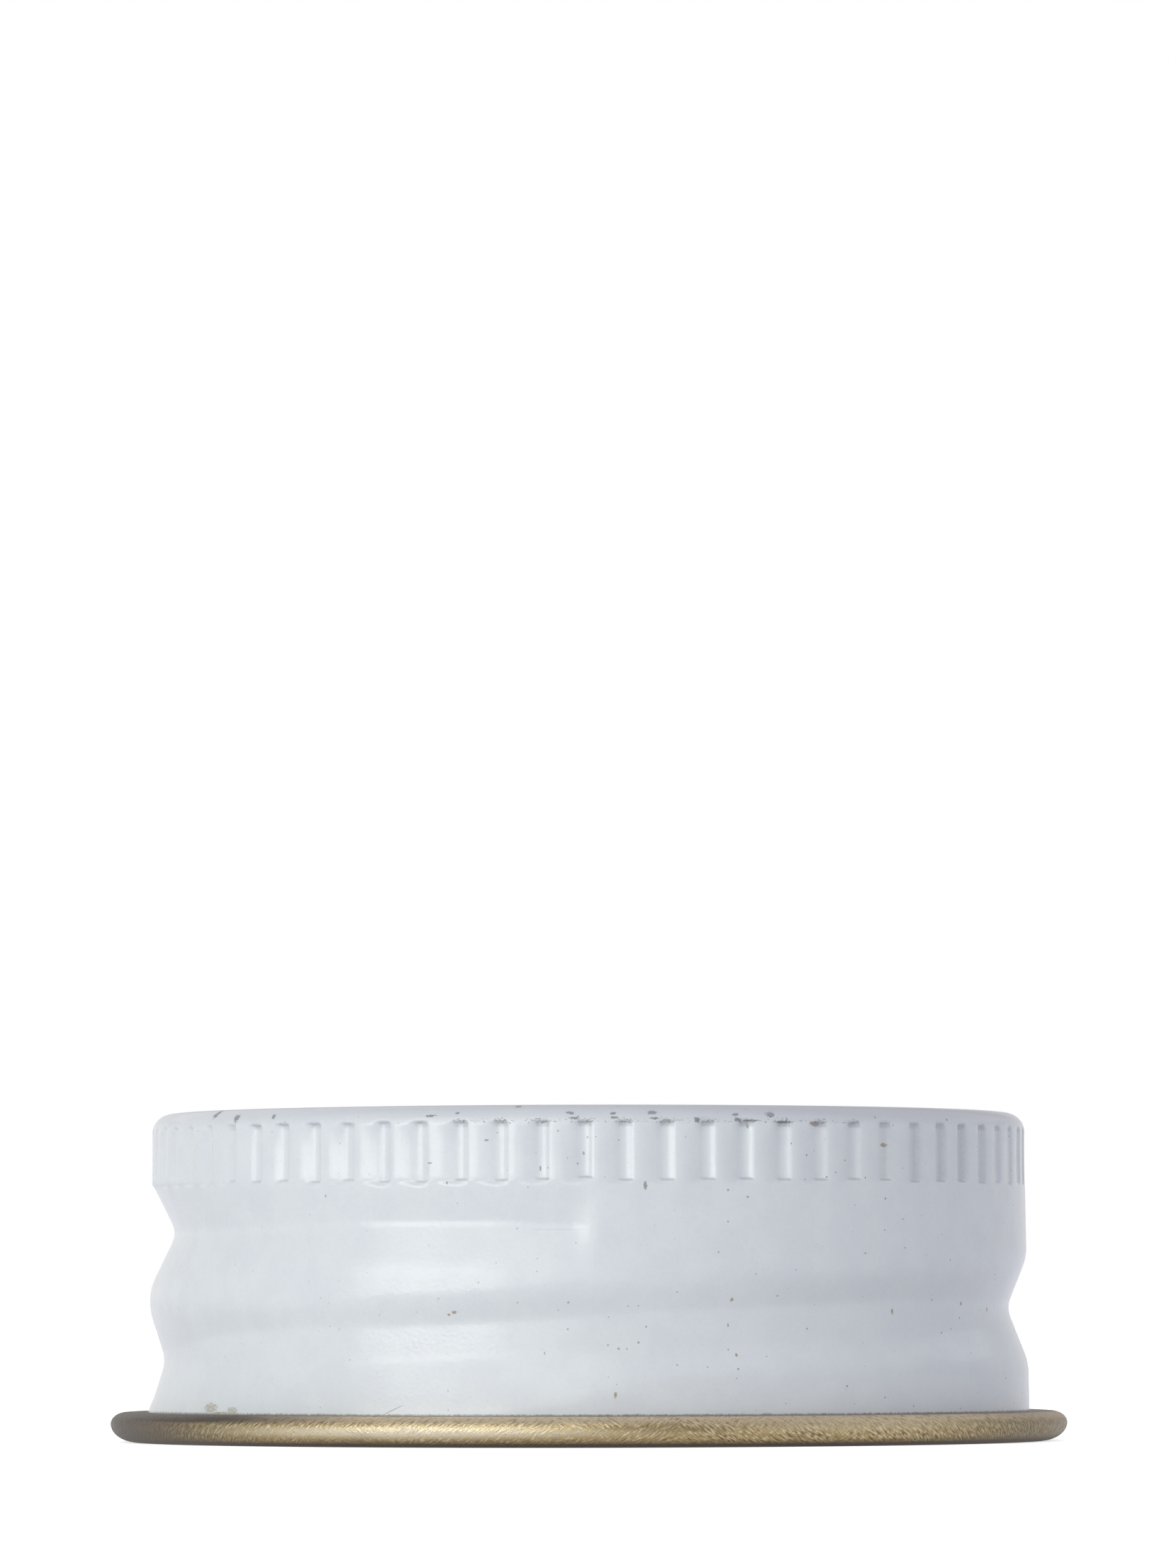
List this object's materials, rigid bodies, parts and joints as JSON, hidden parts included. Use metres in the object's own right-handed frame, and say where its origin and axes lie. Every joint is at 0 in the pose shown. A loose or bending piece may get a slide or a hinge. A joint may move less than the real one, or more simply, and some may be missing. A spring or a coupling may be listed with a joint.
{
  "type": "screw cap",
  "caption": "Low pressed-metal screw cap for a bottle, with a knurled crown, a rolled thread groove in its skirt, an outward curl at the foot and a sealing disc inside.",
  "frame": {"origin": "centre of the ring that the curl stands on, at the mouth", "axes": "+Z along the cap's axis from the mouth to the top panel; -Y towards the viewer, where the groove's upper end lies"},
  "size_m": [0.0313, 0.0312, 0.0107],
  "materials": {
    "enamelled_tinplate": "glossy white enamel outside, gold lacquer inside and on the curl",
    "pulpboard": "matt pulpboard with a smooth off-white facing"
  },
  "bodies": {
    "root": {"shell": "enamelled_tinplate", "liner": "pulpboard"}
  },
  "joints": []
}
